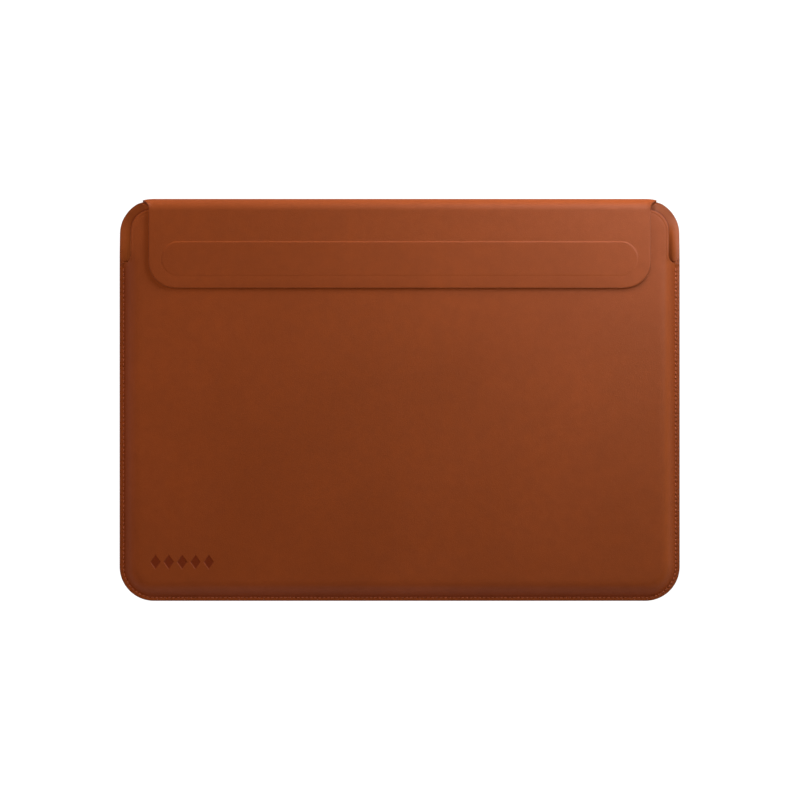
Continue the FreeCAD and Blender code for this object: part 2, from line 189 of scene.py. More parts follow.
def inside_box(x, y, half_x, low, high, low_radius, high_radius):
    """How far each point is inside a rectangle that has its own radius at the low and the high corners."""
    ax = np.abs(x)
    inward = half_x - ax
    if low is not None:
        inward = np.minimum(inward, y - low)
        cx, cy = half_x - low_radius, low + low_radius
        at_corner = (ax > cx) & (y < cy)
        inward = np.where(at_corner, low_radius - np.hypot(ax - cx, y - cy), inward)
    if high is not None:
        inward = np.minimum(inward, high - y)
        cx, cy = half_x - high_radius, high - high_radius
        at_corner = (ax > cx) & (y > cy)
        inward = np.where(at_corner, high_radius - np.hypot(ax - cx, y - cy), inward)
    return inward


def sewn_inset(x, y):
    """Distance in from the sewn edge, which is open at the top."""
    return inside_box(x, y, HALF_WIDTH, -HALF_LENGTH, None, BOTTOM_RADIUS, 0)


def rim_profile():
    """The face's height across the rim, as two matching lists: distance in, height."""
    s = np.arange(-5.0, FLANGE + SLOPE + 5.0, 0.05)
    climb = np.clip((s - FLANGE) / SLOPE, 0, 1)
    z = FACE_Z + (TOP - FACE_Z) * (1 - (1 - climb) ** SLOPE_POWER)
    soft = np.hanning(25)
    eased = np.convolve(z, soft / soft.sum(), "valid")
    cut = len(soft) // 2
    return s[cut:-cut], eased


PROFILE_S, PROFILE_Z = rim_profile()


def seam_distance(x, y):
    return inside_box(x, y, STITCH_X, STITCH_BOTTOM, None, STITCH_RADIUS, 0)


def seam_travel(x, y):
    """How far along the seam each point is, from its upper end on the same side."""
    ax = np.abs(x)
    cx, cy = STITCH_X - STITCH_RADIUS, STITCH_BOTTOM + STITCH_RADIUS
    side = STITCH_TOP - y
    turn = np.arctan2(np.maximum(cy - y, 0), np.maximum(ax - cx, 1e-6))
    corner = STITCH_TOP - cy + STITCH_RADIUS * turn
    bottom = STITCH_TOP - cy + STITCH_RADIUS * math.pi / 2 + (cx - ax)
    return np.where(y > cy, side, np.where(ax > cx, corner, bottom))


def seam_press(x, y):
    """The groove that the thread pulls into the leather, deepest at each hole."""
    d = seam_distance(x, y)
    sewn = smooth((STITCH_TOP + 2 - y) / 2)
    holes = (1 + np.cos(2 * math.pi * seam_travel(x, y) / STITCH_PITCH)) / 2
    return sewn * (0.14 * bump(d, 0.5) + 0.24 * holes * bump(d, 0.5) + 0.05 * holes * bump(d, 1.6))


def free_inset(x, y):
    """Distance in from the front panel's free edge, above the seam ends."""
    box = inside_box(x, y, FREE_X, None, MOUTH_Y, 0, FREE_RADIUS)
    scoop = np.hypot(np.abs(x) - FREE_X - SCOOP_RADIUS, y - SCOOP_Y) - SCOOP_RADIUS
    return np.where(y > SCOOP_Y, box, scoop)


def seam_shade(x, y):
    """Painted shade: the darker tone just inside the seam, which fades out up the slope."""
    s = sewn_inset(x, y)
    return rise(s, 1.9, 0.8) * smooth((8.5 - s) / 6.0) * smooth((SEAM_END_Y + 2 - y) / 4)


def free_edge_shadow(x, y):
    """Painted shadow: the dark line where the front panel's free edge lies against the back panel."""
    return bump(free_inset(x, y) + 0.5, 0.8)


def mark(x, y):
    """The pressed mark: a row of lozenges, 1 inside each and 0 outside."""
    cx, cy = MARK_CENTRE
    index = np.clip(np.round((x - cx) / MARK_STEP), -(MARK_COUNT // 2), MARK_COUNT // 2)
    across = np.abs(x - cx - index * MARK_STEP) / MARK_HALF[0] + np.abs(y - cy) / MARK_HALF[1]
    return smooth((1.0 - across) / 0.16)


def front_form(u, w):
    """The front panel lies flat above the seam ends, where its sides are free."""
    sewn = np.interp(sewn_inset(u, w), PROFILE_S, PROFILE_Z)
    return u, w, sewn + (TOP - sewn) * smooth((w - SEAM_END_Y) / FREE_RISE)


def front_face(u, w):
    """The front leather's face: its form, with the seam's groove, the creased free edge and the mark."""
    free = free_inset(u, w)
    drape = np.sin(u / 41 + 1.3) * np.sin(w / 33 + 0.4) + 0.6 * np.sin(u / 23 - w / 29)
    relief = 0.05 * drape * smooth((sewn_inset(u, w) - FLANGE - 6) / 20) - MARK_DEPTH * mark(u, w)
    drop, width = FREE_DROP
    relief -= drop * np.clip(1 - free / width, 0, 1) ** 2 + 0.10 * bump(free - 1.7, 0.3)
    return u, w, front_form(u, w)[2] + relief - seam_press(u, w)


def folded(u, along):
    """How far out and how far up a fold takes a point; the fold tightens round the rounded corners."""
    past = np.clip(np.abs(u) - (HALF_WIDTH - TOP_RADIUS), 0, TOP_RADIUS)
    fall = TOP_RADIUS - np.sqrt(TOP_RADIUS ** 2 - past ** 2)
    tighter = smooth(past / (ROOT_X - HALF_WIDTH + TOP_RADIUS))
    radius = FOLD_RADIUS + (CORNER_FOLD_RADIUS - FOLD_RADIUS) * tighter
    start = FOLD_RADIUS - fall - radius

    def height(along):
        turn = np.clip((along - start) / radius, 0, math.pi / 2)
        return turn, radius * (1 - np.cos(turn)) + np.maximum(along - start - radius * math.pi / 2, 0)

    turn, up = height(along)
    full = height(BEND + SPINE_MIDDLE)[1]
    return np.clip(along, 0, start) + radius * np.sin(turn), up * (FOLD_RADIUS + SPINE_MIDDLE) / full


def back_form(u, w):
    s = sewn_inset(u, w)
    sink = smooth((w - SINK_Y[0]) / (SINK_Y[1] - SINK_Y[0]))
    z = (TOP - np.interp(s, PROFILE_S, PROFILE_Z)) * (1 - sink)
    out, up = folded(u, w - FOLD_Y)
    curl = smooth((CURL_X - np.abs(u)) / (CURL_X - ROOT_X)) * (w > FOLD_Y)
    return u, w + curl * (FOLD_Y + out - w), z + curl * (up - z)


def back_face(u, w):
    """The back leather's face: its form, with the seam's groove."""
    u, y, z = back_form(u, w)
    return u, y, z + seam_press(u, w)


def pad_inset(u, w):
    y = FLAP_END_Y + w
    radius = (PAD_Y[1] - PAD_Y[0]) / 2 - 0.1
    return inside_box(u, y, PAD_X, PAD_Y[0], PAD_Y[1], radius, radius)


def flap_inset(u, w):
    return inside_box(u, w, STRAP_X, 0.0, None, FLAP_RADIUS, 0)


def flap_form(u, w):
    out, up = folded(u, w - FLAP_FLAT)
    return u, FLAP_END_Y + np.minimum(w, FLAP_FLAT) + out, HEIGHT - up


def flap_face(u, w):
    """The flap's face: its form, with a softened edge and the raised pad, which is highest along its top."""
    u, y, z = flap_form(u, w)
    pad = np.interp(FLAP_END_Y + w, PAD_Y, PAD_RISE) * smooth(pad_inset(u, w) / PAD_EDGE + 0.8)
    drop, width = FLAP_DROP
    soft = drop * np.clip(1 - flap_inset(u, w) / width, 0, 1) ** 2
    return u, y, z + np.where(w < FLAP_FLAT, pad - soft, 0)


class Surface:
    """A face function with outward normals. Side is +1 where the face looks along +Z, and -1 below."""

    def __init__(self, face, side):
        self.face = face
        self.side = side

    def tangents(self, u, w):
        step = 0.04
        along_u = np.stack(self.face(u + step, w), 1) - np.stack(self.face(u - step, w), 1)
        along_w = np.stack(self.face(u, w + step), 1) - np.stack(self.face(u, w - step), 1)
        return along_u / (2 * step), along_w / (2 * step)

    def points(self, u, w, depth=0.0):
        along_u, along_w = self.tangents(u, w)
        normal = np.cross(along_u, along_w) * self.side
        normal /= np.linalg.norm(normal, axis=1)[:, None]
        depth = np.broadcast_to(depth, u.shape)
        return np.stack(self.face(u, w), 1) - normal * depth[:, None]


FRONT = Surface(front_face, 1)
BACK = Surface(back_face, -1)
FLAP = Surface(flap_face, 1)
FRONT_FORM = Surface(front_form, 1)
BACK_FORM = Surface(back_form, -1)
FLAP_FORM = Surface(flap_form, 1)


# ---------------------------------------------------------------- outlines and points


def arc(cx, cy, radius, start, end, step=1.0):
    count = max(3, math.ceil(abs(math.radians(end - start)) * radius / step) + 1)
    turn = np.radians(np.linspace(start, end, count))
    return np.stack([cx + radius * np.cos(turn), cy + radius * np.sin(turn)], 1)


def resampled(path, step):
    """The same path with points no further apart than a step."""
    out = [path[:1]]
    for a, b in zip(path[:-1], path[1:]):
        count = max(1, math.ceil(np.linalg.norm(b - a) / step))
        out.append(a + (b - a) * (np.arange(1, count + 1) / count)[:, None])
    return np.concatenate(out)


def mirrored(right):
    """A right-hand path that runs from the bottom to the top, closed by its mirror image."""
    left = right[::-1] * (-1, 1)
    path = np.concatenate([right, left])
    keep = np.linalg.norm(path - np.roll(path, 1, 0), axis=1) > 1e-6
    return path[keep]


def sewn_corner(inset):
    cx, cy = HALF_WIDTH - BOTTOM_RADIUS, BOTTOM_RADIUS - HALF_LENGTH
    return arc(cx, cy, BOTTOM_RADIUS - inset, -90, 0)


def front_outline(inset):
    free_x, free_y = FREE_X - FREE_RADIUS, MOUTH_Y - FREE_RADIUS
    scoop_x = FREE_X + SCOOP_RADIUS
    return mirrored(np.concatenate([
        sewn_corner(inset),
        arc(scoop_x, SEAM_END_Y, LOBE_RADIUS - inset, 0, 90, 0.3),
        arc(scoop_x, SCOOP_Y, SCOOP_RADIUS + inset, 270, 180, 0.5),
        arc(free_x, free_y, FREE_RADIUS - inset, 0, 90, 0.8),
    ]))


def lining_outline():
    """The front lining: it hangs down the wall to the seam, and stops short of the free edge."""
    reach, gap = HALF_WIDTH - LINING_INSET, 0.9
    scoop_x, scoop = FREE_X + SCOOP_RADIUS, SCOOP_RADIUS + gap
    start = 180 + math.degrees(math.acos((scoop_x - reach) / scoop))
    return mirrored(np.concatenate([
        sewn_corner(LINING_INSET),
        arc(scoop_x, SCOOP_Y, scoop, start, 180, 0.5),
        arc(FREE_X - FREE_RADIUS, MOUTH_Y - FREE_RADIUS, FREE_RADIUS - gap, 0, 90),
    ]))


def back_top(inset):
    """The back panel's top right corner, running on into the strap that rises to the middle of the spine."""
    cx, cy, radius = HALF_WIDTH - TOP_RADIUS, HALF_LENGTH - TOP_RADIUS, TOP_RADIUS - inset
    side, fillet = ROOT_X - inset, ROOT_FILLET + inset
    fx = side + fillet
    fy = cy + math.sqrt((radius + fillet) ** 2 - (fx - cx) ** 2)
    meet = math.degrees(math.atan2(fy - cy, fx - cx))
    return np.concatenate([
        arc(cx, cy, radius, 0, meet, 0.6),
        arc(fx, fy, fillet, 180 + meet, 180, 0.4),
        [(side, BACK_END)],
    ])


def back_outline(inset):
    return mirrored(np.concatenate([sewn_corner(inset), back_top(inset)]))


def facing_outline():
    """The back facing: inside the wall where the rim is sewn, and out to the painted edge above it."""
    reach = HALF_WIDTH - LINING_INSET
    side = [(reach, FACING_Y), (reach, SINK_Y[0] - 0.4), (HALF_WIDTH - PAINT, SINK_Y[0] + 1.2)]
    return mirrored(np.concatenate([side, back_top(PAINT)]))


def flap_outline(inset):
    """The flap and its strap, which widens over the upper fold on its way to the middle of the spine."""
    rise = np.linspace(0, ROOT_RISE, 14)
    x = STRAP_X + (ROOT_X - STRAP_X) * smooth((rise / ROOT_RISE) ** 2) - inset
    return mirrored(np.concatenate([
        arc(STRAP_X - FLAP_RADIUS, FLAP_RADIUS, FLAP_RADIUS - inset, -90, 0, 0.7),
        np.stack([x, FLAP_FLAT + rise], 1),
        [(ROOT_X - inset, FLAP_END)],
    ]))


def box_outline(half_x, low, high, low_radius, high_radius):
    right = [np.array([(half_x, low)])]
    if low_radius:
        right = [arc(half_x - low_radius, low + low_radius, low_radius, -90, 0)]
    if high_radius:
        right.append(arc(half_x - high_radius, high - high_radius, high_radius, 0, 90))
    else:
        right.append(np.array([(half_x, high)]))
    return mirrored(np.concatenate(right))


def grid(x0, x1, y0, y1, step_x, step_y):
    xs = np.linspace(x0, x1, max(2, round((x1 - x0) / step_x) + 1))
    ys = np.linspace(y0, y1, max(2, round((y1 - y0) / step_y) + 1))
    return np.stack(np.meshgrid(xs, ys), -1).reshape(-1, 2)


def rim_path(inset, top):
    """A U-shaped path at a distance in from the sewn edge, from the left end to the right end."""
    right = np.concatenate([sewn_corner(inset), [(HALF_WIDTH - inset, top)]])
    return np.concatenate([right[::-1] * (-1, 1), right])


def rim_rings(insets, step, top):
    return np.concatenate([resampled(rim_path(inset, top), step) for inset in insets])


def both_ends(x0, x1, y0, y1, step):
    """A fine grid at each end of the strap."""
    right = grid(x0, x1, y0, y1, step, step)
    return np.concatenate([right, right * (-1, 1)])


def inset_rings(outline, insets, step):
    return np.concatenate([resampled(outline(inset), step) for inset in insets])


def inside(points, polygon):
    """Which points lie in a polygon."""
    x, y = points[:, 0], points[:, 1]
    hits = np.zeros(len(points), bool)
    for (ax, ay), (bx, by) in zip(polygon, np.roll(polygon, -1, 0)):
        if ay == by:
            continue
        crosses = (ay > y) != (by > y)
        hits ^= crosses & (x < (bx - ax) * (y - ay) / (by - ay) + ax)
    return hits


def edge_distance(points, polygon):
    """Distance from each point to the nearest of a polygon's closely set corners."""
    tree = KDTree(len(polygon))
    for index, (x, y) in enumerate(polygon):
        tree.insert((x, y, 0), index)
    tree.balance()
    return np.array([tree.find((x, y, 0))[2] for x, y in points])


def triangulated(outline, extra, step=1.5, clear=0.3):
    """A flat mesh of an outline and the points inside it, as points and triangles."""
    loop = resampled(np.concatenate([outline, outline[:1]]), step)[:-1]
    fill = np.unique(np.round(extra, 3), axis=0)
    fill = fill[inside(fill, loop)]
    fill = fill[edge_distance(fill, loop) > clear]
    points = np.concatenate([loop, fill])
    result = delaunay_2d_cdt([Vector(p) for p in points], [], [list(range(len(loop)))], 1, 1e-5)
    flat = np.array([tuple(p) for p in result[0]])
    faces = np.array([f for f in result[2] if len(f) == 3])
    a, b, c = (flat[faces[:, i]] for i in range(3))
    turn = (b - a)[:, 0] * (c - a)[:, 1] - (b - a)[:, 1] * (c - a)[:, 0]
    faces[turn < 0] = faces[turn < 0][:, ::-1]
    return flat, faces[np.abs(turn) > 1e-9]


# ---------------------------------------------------------------- meshes


def mesh_object(name, points, faces, materials, slots=None, sharp=()):
    """A smooth mesh object from points in millimetres."""
    mesh = bpy.data.meshes.new(name)
    mesh.from_pydata((np.asarray(points) * MM).tolist(), [], [tuple(map(int, f)) for f in faces])
    for material in materials:
        mesh.materials.append(material)
    mesh.polygons.foreach_set("use_smooth", np.ones(len(mesh.polygons), bool))
    if slots is not None:
        mesh.polygons.foreach_set("material_index", np.asarray(slots, np.int32))
    tidy = bmesh.new()
    tidy.from_mesh(mesh)
    bmesh.ops.recalc_face_normals(tidy, faces=tidy.faces)
    tidy.to_mesh(mesh)
    tidy.free()
    if len(sharp):
        keys = {frozenset(map(int, pair)) for pair in sharp}
        flags = [frozenset(edge.vertices) in keys for edge in mesh.edges]
        mesh.edges.foreach_set("use_edge_sharp", flags)
    mesh.update()
    obj = bpy.data.objects.new(name, mesh)
    bpy.context.scene.collection.objects.link(obj)
    return obj


def sheet_object(name, surface, flat, faces, outer, inner, materials):
    """A closed sheet between two depths of a surface: its face, its reverse and its edge."""
    u, w = flat[:, 0], flat[:, 1]
    depth = [value(u, w) if callable(value) else value for value in (outer, inner)]
    face = surface.points(u, w, depth[0])
    reverse = surface.points(u, w, depth[1])
    count = len(flat)
    pairs = np.concatenate([faces[:, [0, 1]], faces[:, [1, 2]], faces[:, [2, 0]]])
    known = {(int(a), int(b)) for a, b in pairs}
    border = np.array([(a, b) for a, b in pairs if (int(b), int(a)) not in known])
    sides = np.stack([border[:, 0], border[:, 0] + count, border[:, 1] + count, border[:, 1]], 1)
    top, low = (faces, faces[:, ::-1]) if surface.side > 0 else (faces[:, ::-1], faces)
    if surface.side < 0:
        sides = sides[:, ::-1]
    every = list(top) + list(low + count) + list(sides)
    slots = [0] * len(top) + [1] * len(low) + [2] * len(sides)
    sharp = np.concatenate([border, border + count])
    return mesh_object(name, np.concatenate([face, reverse]), every, materials, slots, sharp)


def edge_bead(name, surface, path, outer, inner, material, closed=False, bulge=PAINT):
    """A bead of edge paint along a flat path, between two depths, rounded outwards to the path's right."""
    ahead = np.roll(path, -1, 0) - np.roll(path, 1, 0)
    if not closed:
        ahead[0], ahead[-1] = path[1] - path[0], path[-1] - path[-2]
    ahead /= np.linalg.norm(ahead, axis=1)[:, None]
    u, w = path[:, 0], path[:, 1]
    depth = [np.broadcast_to(value(u, w) if callable(value) else value, u.shape) for value in (outer, inner)]
    along_u, along_w = surface.tangents(u, w)
    out = along_u * ahead[:, 1:2] - along_w * ahead[:, 0:1]
    out /= np.linalg.norm(out, axis=1)[:, None]
    rounds = 8
    rings = []
    for step in range(rounds + 1):
        turn = math.pi * step / rounds
        share = (1 - math.cos(turn)) / 2
        rings.append(surface.points(u, w, depth[0] + (depth[1] - depth[0]) * share)
                     + out * bulge * math.sin(turn) ** 0.6)
    for share in (0.85, 0.15):
        rings.append(surface.points(u, w, depth[0] + (depth[1] - depth[0]) * share) - out * 0.15)
    count, width = len(path), len(rings)
    points = np.stack(rings, 1).reshape(-1, 3)
    faces = []
    for i in range(count if closed else count - 1):
        j = (i + 1) % count
        for k in range(width):
            m = (k + 1) % width
            faces.append((i * width + k, j * width + k, j * width + m, i * width + m))
    if not closed:
        faces.append(tuple(range(width)))
        faces.append(tuple((count - 1) * width + k for k in reversed(range(width))))
    return mesh_object(name, points, faces, [material])


def stitch_spots():
    """The middle of each stitch on the seam line, with the direction of sewing."""
    cx, cy = STITCH_X - STITCH_RADIUS, STITCH_BOTTOM + STITCH_RADIUS
    right = np.concatenate([arc(cx, cy, STITCH_RADIUS, -90, 0, 0.1), [(STITCH_X, STITCH_TOP)]])
    right = resampled(np.concatenate([[(0.0, STITCH_BOTTOM)], right]), 0.1)
    travel = seam_travel(right[:, 0], right[:, 1])
    order = np.argsort(travel)
    spots = []
    for middle in np.arange(STITCH_PITCH / 2, travel.max(), STITCH_PITCH):
        x, y = (np.interp(middle, travel[order], right[order, axis]) for axis in (0, 1))
        nx, ny = (np.interp(middle + 0.3, travel[order], right[order, axis]) for axis in (0, 1))
        ahead = np.array([nx - x, ny - y])
        if np.linalg.norm(ahead) > 0.1:
            ahead /= np.linalg.norm(ahead)
            spots += [(np.array([x, y]), ahead), (np.array([-x, y]), ahead * (-1, 1))]
    return spots


def stitches(name, surface, material):
    """Every stitch on one face of the seam: a short arched thread that dives into its holes."""
    along = np.linspace(-1, 1, 11)
    around = 8
    points, faces, turns = [], [], []
    for spot, ahead in stitch_spots():
        side = np.array([-ahead[1], ahead[0]])
        start = len(points)
        for t in along:
            place = spot + ahead * t * STITCH_LENGTH / 2
            lift = THREAD_RADIUS * (0.55 - 1.5 * abs(t) ** 5)
            radius = THREAD_RADIUS * math.sqrt(max(1 - abs(t) ** 6, 0.09))
            for k in range(around):
                turn = 2 * math.pi * k / around
                shift = side * radius * 1.1 * math.cos(turn)
                points.append((*(place + shift), -lift - radius * math.sin(turn)))
                turns.append((t, k / around))
        for ring in range(len(along) - 1):
            for k in range(around):
                a = start + ring * around + k
                b = start + ring * around + (k + 1) % around
                faces.append((a, b, b + around, a + around))
        faces.append(tuple(start + k for k in reversed(range(around))))
        faces.append(tuple(start + (len(along) - 1) * around + k for k in range(around)))
    points = np.array(points)
    on_line = [spot for spot, ahead in stitch_spots() for t in along for k in range(around)]
    middle = np.array(on_line)
    base = surface.points(middle[:, 0], middle[:, 1])[:, 2]
    points[:, 2] = base - surface.side * points[:, 2]
    if surface.side < 0:
        faces = [face[::-1] for face in faces]
    obj = mesh_object(name, points, faces, [material])
    twist = obj.data.attributes.new("twist", "FLOAT_VECTOR", "POINT")
    values = [(t * STITCH_LENGTH / 2, share, 0.0) for t, share in turns]
    twist.data.foreach_set("vector", np.array(values, np.float32).ravel())
    return obj


# ---------------------------------------------------------------- materials


class Nodes:
    """A small helper for building one material's node tree."""

    def __init__(self, name):
        self.material = bpy.data.materials.new(name)
        self.material.use_nodes = True
        self.tree = self.material.node_tree
        self.shader = self.tree.nodes["Principled BSDF"]
        self.place = self.add("ShaderNodeTexCoord").outputs["Object"]

    def add(self, kind, inputs=None, **settings):
        node = self.tree.nodes.new(kind)
        for key, value in settings.items():
            setattr(node, key, value)
        for key, value in (inputs or {}).items():
            self.feed(node.inputs[key], value)
        return node

    def feed(self, socket, value):
        if isinstance(value, bpy.types.NodeSocket):
            self.tree.links.new(value, socket)
        else:
            socket.default_value = value

    def math(self, operation, a, b=0.0, clamp=False):
        node = self.add("ShaderNodeMath", {0: a, 1: b}, operation=operation)
        node.use_clamp = clamp
        return node.outputs[0]

    def noise(self, scale, detail=3.0, rough=0.5, place=None):
        inputs = {"Vector": place or self.place, "Scale": scale, "Detail": detail, "Roughness": rough}
        return self.add("ShaderNodeTexNoise", inputs).outputs["Fac"]

    def mix(self, share, a, b):
        node = self.add("ShaderNodeMix", data_type="RGBA")
        for socket, value in zip((node.inputs[0], node.inputs[6], node.inputs[7]), (share, a, b)):
            self.feed(socket, value)
        return node.outputs[2]

    def spread(self, value, low, high, to_low=0.0, to_high=1.0):
        inputs = {"Value": value, "From Min": low, "From Max": high, "To Min": to_low, "To Max": to_high}
        return self.add("ShaderNodeMapRange", inputs).outputs["Result"]

    def relief(self, height, distance, strength=1.0, normal=None):
        node = self.add("ShaderNodeBump", {"Height": height, "Strength": strength, "Distance": distance})
        if normal is not None:
            self.feed(node.inputs["Normal"], normal)
        return node.outputs["Normal"]

    def finish(self, colour, roughness, normal=None, **plain):
        self.feed(self.shader.inputs["Base Color"], colour)
        self.feed(self.shader.inputs["Roughness"], roughness)
        if normal is not None:
            self.feed(self.shader.inputs["Normal"], normal)
        for key, value in plain.items():
            self.shader.inputs[key.replace("_", " ")].default_value = value
        return self.material


def shade(colour, factor):
    return (*(channel * factor for channel in colour), 1.0)


def leather(name, colour, grain=1.0, pressed_and_shaded=False):
    """Smooth fine-grain leather: small pebbles with creases between them, pores, and slow tone changes.

    Where the mesh's own values ask for it, it is darker: in the pressed mark, and as painted shade along the
    seam and painted shadow beside the front panel's free edge.
    """
    n = Nodes(name)
    warp = n.add("ShaderNodeTexNoise", {"Vector": n.place, "Scale": 900.0, "Detail": 2.0}).outputs["Color"]
    shifted = n.add("ShaderNodeVectorMath", {0: warp, 1: (0.0005, 0.0005, 0.0005)}, operation="MULTIPLY")
    place = n.add("ShaderNodeVectorMath", {0: n.place, 1: shifted.outputs[0]}, operation="ADD").outputs[0]
    cells = n.add("ShaderNodeTexVoronoi", {"Vector": place, "Scale": 1250.0}, feature="DISTANCE_TO_EDGE")
    pebble = n.spread(cells.outputs["Distance"], 0.0, 0.32)
    fine = n.noise(4200.0, 2.0, 0.6, place)
    pores = n.spread(n.noise(1700.0, 1.0, 0.5, place), 0.62, 0.74)
    tone = n.noise(16.0, 4.0, 0.55)
    mottle = n.noise(160.0, 3.0, 0.6)
    lighter = n.mix(n.spread(tone, 0.3, 0.7), shade(colour, 0.93), shade(colour, 1.07))
    mottled = n.mix(n.spread(mottle, 0.35, 0.65, 0.0, 0.35), lighter, shade(colour, 0.84))
    creased = n.mix(n.spread(pebble, 0.0, 0.6, 0.16 * grain, 0.0), mottled, shade(colour, 0.55))
    final = n.mix(n.math("MULTIPLY", pores, 0.12 * grain), creased, shade(colour, 0.45))
    height = n.math("ADD", n.math("MULTIPLY", pebble, 0.75), n.math("MULTIPLY", fine, 0.25))
    height = n.math("SUBTRACT", height, n.math("MULTIPLY", pores, 0.35))
    slow = n.relief(mottle, 0.00006, 0.5)
    normal = n.relief(height, 0.00004 * grain, 0.75, slow)
    roughness = n.spread(n.math("ADD", n.math("MULTIPLY", mottle, 0.6), n.math("MULTIPLY", fine, 0.4)),
                         0.3, 0.7, 0.46, 0.6)
    if pressed_and_shaded:
        share = n.add("ShaderNodeAttribute", attribute_name="pressed_and_shaded").outputs["Fac"]
        final = n.mix(share, final, shade(PRESS_AND_SHADE_BROWN, 1.0))
    return n.finish(final, roughness, normal, Specular_IOR_Level=0.2)


def edge_paint(name, colour):
    """Painted leather edge: satin, slightly wavy, with the odd worn spot."""
    n = Nodes(name)
    waves = n.noise(700.0, 3.0, 0.6)
    worn = n.spread(n.noise(240.0, 4.0, 0.7), 0.6, 0.75)
    tint = n.mix(n.math("MULTIPLY", worn, 0.3), shade(colour, 1.0), shade(colour, 1.9))
    return n.finish(tint, n.spread(waves, 0.3, 0.7, 0.38, 0.5), n.relief(waves, 0.00006, 0.6),
                    Specular_IOR_Level=0.25)


def microfibre(name, colour):
    """Brushed microfibre: short nap with soft lighter and darker strokes."""
    n = Nodes(name)
    stretched = n.add("ShaderNodeMapping", {"Vector": n.place, "Scale": (1.0, 0.22, 1.0)}).outputs[0]
    nap = n.noise(2600.0, 4.0, 0.7, stretched)
    strokes = n.noise(60.0, 3.0, 0.5, stretched)
    base = n.mix(n.spread(strokes, 0.35, 0.65), shade(colour, 0.8), shade(colour, 1.25))
    tint = n.mix(n.spread(nap, 0.3, 0.7, 0.0, 0.5), base, shade(colour, 0.55))
    return n.finish(tint, 0.95, n.relief(nap, 0.00012, 0.6), Specular_IOR_Level=0.2,
                    Sheen_Weight=0.2, Sheen_Tint=(0.3, 0.17, 0.11, 1))


def woven(name, colour, scale):
    """Plain weave from two crossed sets of ridges."""
    n = Nodes(name)
    ridges = [
        n.add("ShaderNodeTexWave", {"Vector": n.place, "Scale": scale}, bands_direction=way).outputs["Fac"]
        for way in ("X", "Y")
    ]
    weave = n.math("MULTIPLY", *ridges)
    tint = n.mix(weave, shade(colour, 0.6), shade(colour, 1.1))
    return n.finish(tint, 0.85, n.relief(weave, 0.0001, 0.7), Specular_IOR_Level=0.25)


def speckled(name, colour, roughness, scale, relief, metallic=0.0):
    """Board, foam, plastic or plating: a plain colour broken up by grain at one scale."""
    n = Nodes(name)
    grain = n.noise(scale, 4.0, 0.6)
    tint = n.mix(n.spread(grain, 0.35, 0.65), shade(colour, 0.82), shade(colour, 1.12))
    rough = n.spread(grain, 0.3, 0.7, roughness - 0.06, roughness + 0.06)
    return n.finish(tint, rough, n.relief(grain, relief, 0.5), Metallic=metallic)


def thread(name, colour):
    """Waxed twisted thread; the twist runs around each stitch."""
    n = Nodes(name)
    twist = n.add("ShaderNodeAttribute", attribute_name="twist").outputs["Vector"]
    parts = n.add("ShaderNodeSeparateXYZ", {0: twist})
    advance = n.math("MULTIPLY", parts.outputs[0], 2.2)
    phase = n.math("ADD", advance, n.math("MULTIPLY", parts.outputs[1], 2.0))
    ply = n.math("SINE", n.math("MULTIPLY", phase, 2 * math.pi))
    fibres = n.noise(5200.0, 3.0, 0.6)
    height = n.math("ADD", ply, n.math("MULTIPLY", fibres, 0.5))
    tint = n.mix(n.spread(ply, -1.0, 0.4), shade(colour, 0.55), shade(colour, 1.1))
    return n.finish(tint, 0.55, n.relief(height, 0.00005, 0.8), Specular_IOR_Level=0.2)


def floor_material():
    """A plain light table: white, with no shadow on it."""
    n = Nodes("floor")
    return n.finish((0.1, 0.1, 0.1, 1), 0.9, Specular_IOR_Level=0.0,
                    Emission_Color=(1, 1, 1, 1), Emission_Strength=1.0)


# ---------------------------------------------------------------- the sleeve

BROWN = (0.200, 0.0380, 0.0071)
FACING_BROWN = (0.197, 0.0400, 0.0083)
PAINT_BROWN = (0.130, 0.0240, 0.0048)
# Darker tone for the pressed mark, also used as painted shade along the seam and painted shadow beside the
# front panel's free edge
PRESS_AND_SHADE_BROWN = (0.070, 0.0020, 0.0002)
THREAD_BROWN = (0.290, 0.0700, 0.0300)
LINING_BROWN = (0.060, 0.030, 0.0200)

# Each fold: the two bodies, and where its bend starts and ends
LOWER_FOLD = (
    "sleeve", "spine",
    (0, FOLD_Y * MM, 0),
    (0, HALF_LENGTH * MM, FOLD_RADIUS * MM),
)
UPPER_FOLD = (
    "spine", "flap",
    (0, HALF_LENGTH * MM, (HEIGHT - FOLD_RADIUS) * MM),
    (0, FOLD_Y * MM, HEIGHT * MM),
)


def front_drop(u, w):
    """How far the front panel's face lies below its form."""
    return front_form(u, w)[2] - front_face(u, w)[2]


def flap_drop(u, w):
    """How far the flap's face lies below its form; it is negative on the pad."""
    return flap_form(u, w)[2] - flap_face(u, w)[2]


def front_stack(u, w):
    """The thickness of everything in the front panel, which is only leather on the flange."""
    return LEATHER + (PANEL - LEATHER) * rise(sewn_inset(u, w), *STACK_STEP)


def front_lining_depth(u, w):
    return LEATHER + GLUE + (FOAM_DEPTH - LEATHER) * rise(sewn_inset(u, w), *FOAM_STEP)


def back_lining_depth(u, w):
    """The inner skins lie on the foam, and step down to the leather at the rim, the corners and the fold."""
    inset = inside_box(u, w, HALF_WIDTH, -HALF_LENGTH, HALF_LENGTH, BOTTOM_RADIUS, TOP_RADIUS)
    on_foam = np.minimum(rise(inset, *FOAM_STEP), smooth((FOAM_TOP - w) / FOAM_STEP[1]))
    on_tape = rise(w, *TAPE_STEP) * smooth(ROOT_X + 1 - np.abs(u))
    return LEATHER + GLUE + (FOAM_DEPTH - LEATHER) * on_foam + (TAPE - GLUE) * on_tape


def flap_facing_depth(u, w):
    """The flap's facing lies on its board, and rises to the tape at the fold."""
    return FLAP_DEPTH - LINING - 0.4 * rise(w, FLAP_LID, 1.5)


def flap_stack(u, w):
    return flap_facing_depth(u, w) + LINING


